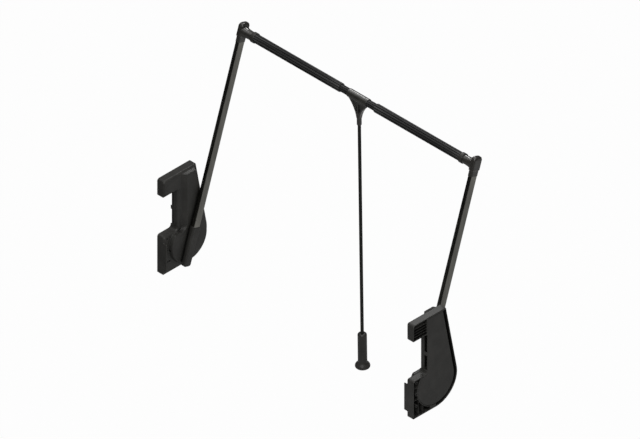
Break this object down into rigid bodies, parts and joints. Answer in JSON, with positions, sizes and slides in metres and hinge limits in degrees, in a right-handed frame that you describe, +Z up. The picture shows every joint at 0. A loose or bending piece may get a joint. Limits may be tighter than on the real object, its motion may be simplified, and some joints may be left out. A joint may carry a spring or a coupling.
{
  "type": "pull_down_closet_rod",
  "caption": "Pull down closet rod: notched wall housings carry leaning arms helped by gas struts, joined by a telescopic fluted rod with a long hanging pull handle",
  "frame": {"origin": "where the arm pivot axis meets the left wall face", "axes": "+X along the rod to the right wall, +Y to the back of the closet, +Z up"},
  "size_m": [0.943, 0.3046, 0.8911],
  "materials": {
    "housing_plastic": "black moulded plastic, satin",
    "lever_plastic": "black moulded plastic, satin",
    "bush_plastic": "dark acetal",
    "gear_steel": "zinc plated steel",
    "cylinder_steel": "black painted steel cylinder",
    "arm_bronze": "dark bronze paint, satin",
    "cast_bronze": "dark bronze enamel, gloss",
    "tube_black": "black anodised fluted aluminium",
    "pull_rod_black": "black powder coated steel",
    "grip_plastic": "black moulded grip"
  },
  "bodies": {
    "left_base": {"left_housing": "housing_plastic", "left_back_plate": "housing_plastic", "left_spindle_bush": "bush_plastic", "left_gas_cylinder": "cylinder_steel"},
    "left_swing": {"left_spindle": "gear_steel", "left_crank": "gear_steel", "left_crank_pin": "gear_steel", "left_lever": "lever_plastic", "left_arm": "arm_bronze", "left_elbow": "cast_bronze", "left_elbow_cap": "cast_bronze", "left_collar": "lever_plastic", "left_outer_tube": "tube_black"},
    "left_slide": {"left_yoke": "gear_steel", "left_piston_rod": "gear_steel"},
    "rod_middle": {"inner_tube": "tube_black"},
    "handle": {"handle_bracket": "cast_bronze", "pull_rod": "pull_rod_black", "grip": "grip_plastic"},
    "right_swing": {"right_spindle": "gear_steel", "right_crank": "gear_steel", "right_crank_pin": "gear_steel", "right_lever": "lever_plastic", "right_arm": "arm_bronze", "right_elbow": "cast_bronze", "right_elbow_cap": "cast_bronze", "right_collar": "lever_plastic", "right_outer_tube": "tube_black"},
    "right_slide": {"right_yoke": "gear_steel", "right_piston_rod": "gear_steel"},
    "right_base": {"right_housing": "housing_plastic", "right_back_plate": "housing_plastic", "right_spindle_bush": "bush_plastic", "right_gas_cylinder": "cylinder_steel"}
  },
  "joints": [
    {"name": "arm_swing", "type": "hinge", "parent": "left_base", "child": "left_swing", "pos_m": [0.0442, 0, 0], "axis": [1, 0, 0], "range_deg": [0, 120], "stiffness_Nm_per_rad": 6, "springref_deg": -11.46},
    {"name": "left_strut_travel", "type": "slide", "parent": "left_base", "child": "left_slide", "axis": [0, 0, 1], "range_m": [0, 0.04177]},
    {"name": "left_telescope", "type": "slide", "parent": "left_swing", "child": "rod_middle", "axis": [1, 0, 0], "range_m": [-0.028, 0.12]},
    {"name": "handle_swing", "type": "hinge", "parent": "rod_middle", "child": "handle", "pos_m": [0.4715, 0.18726, 0.57634], "axis": [1, 0, 0], "continuous": true},
    {"name": "right_telescope", "type": "slide", "parent": "rod_middle", "child": "right_swing", "axis": [1, 0, 0], "range_m": [-0.028, 0.12]},
    {"name": "right_pivot", "type": "hinge", "parent": "right_swing", "child": "right_base", "pos_m": [0.8988, 0, 0], "axis": [1, 0, 0], "range_deg": [-120, 0], "stiffness_Nm_per_rad": 6, "springref_deg": 11.46},
    {"name": "right_strut_travel", "type": "slide", "parent": "right_base", "child": "right_slide", "axis": [0, 0, 1], "range_m": [0, 0.04177]}
  ],
  "couplings": [
    {"joint": "left_strut_travel", "follows": "arm_swing", "m_per_rad": 0.019848},
    {"joint": "right_pivot", "follows": "arm_swing", "ratio": -1},
    {"joint": "right_strut_travel", "follows": "arm_swing", "m_per_rad": 0.019848}
  ]
}
